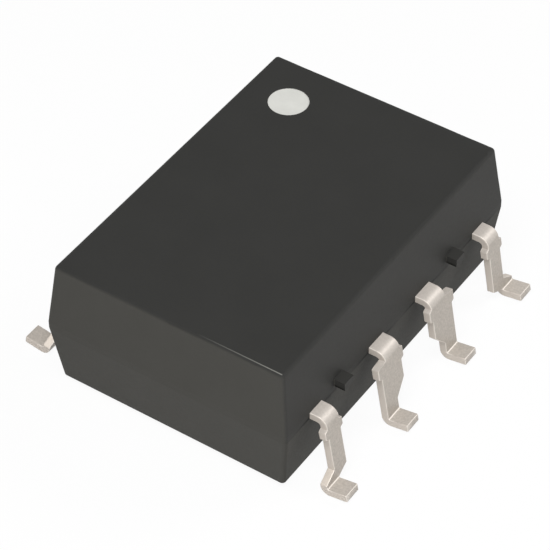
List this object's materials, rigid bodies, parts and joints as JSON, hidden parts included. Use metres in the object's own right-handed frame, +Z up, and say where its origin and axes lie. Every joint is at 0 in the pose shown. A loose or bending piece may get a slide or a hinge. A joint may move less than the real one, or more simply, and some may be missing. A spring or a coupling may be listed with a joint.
{
  "type": "optocoupler",
  "caption": "Surface-mount optocoupler: a drafted black epoxy body with a white dot at one corner and gull-wing leads along both long sides, light-coupled inside.",
  "frame": {"origin": "middle of the footprint, on the plane that the heels of the feet stand on", "axes": "+X towards the row of leads 5 to 8, +Y towards the end with the pin 1 mark, +Z up out of the board"},
  "size_m": [0.009, 0.0092, 0.0036],
  "materials": {
    "black_epoxy": "matt moulded epoxy, finely spark-eroded",
    "white_ink": "matt printed ink",
    "tin_plate": "satin tin plate over copper alloy",
    "inner_epoxy": "white light-passing epoxy",
    "silicone": "clear soft silicone",
    "film": "amber polyimide film",
    "emitter_chip": "polished semiconductor chip",
    "detector_chip": "polished silicon chip",
    "silver_bond": "silver-filled adhesive",
    "gold_wire": "drawn gold wire"
  },
  "bodies": {
    "root": {"body_moulding": "black_epoxy", "detector_die": "detector_chip", "detector_die_bond": "silver_bond", "emitter_bond_wire": "gold_wire", "emitter_die": "emitter_chip", "emitter_die_bond": "silver_bond", "enable_bond_wire": "gold_wire", "ground_bond_wire": "gold_wire", "inner_moulding": "inner_epoxy", "isolating_film": "film", "lead_1": "tin_plate", "lead_2": "tin_plate", "lead_3": "tin_plate", "lead_4": "tin_plate", "lead_5": "tin_plate", "lead_6": "tin_plate", "lead_7": "tin_plate", "lead_8": "tin_plate", "lower_coupling_gel": "silicone", "output_bond_wire": "gold_wire", "pin_1_mark": "white_ink", "supply_bond_wire": "gold_wire", "upper_coupling_gel": "silicone"}
  },
  "joints": []
}
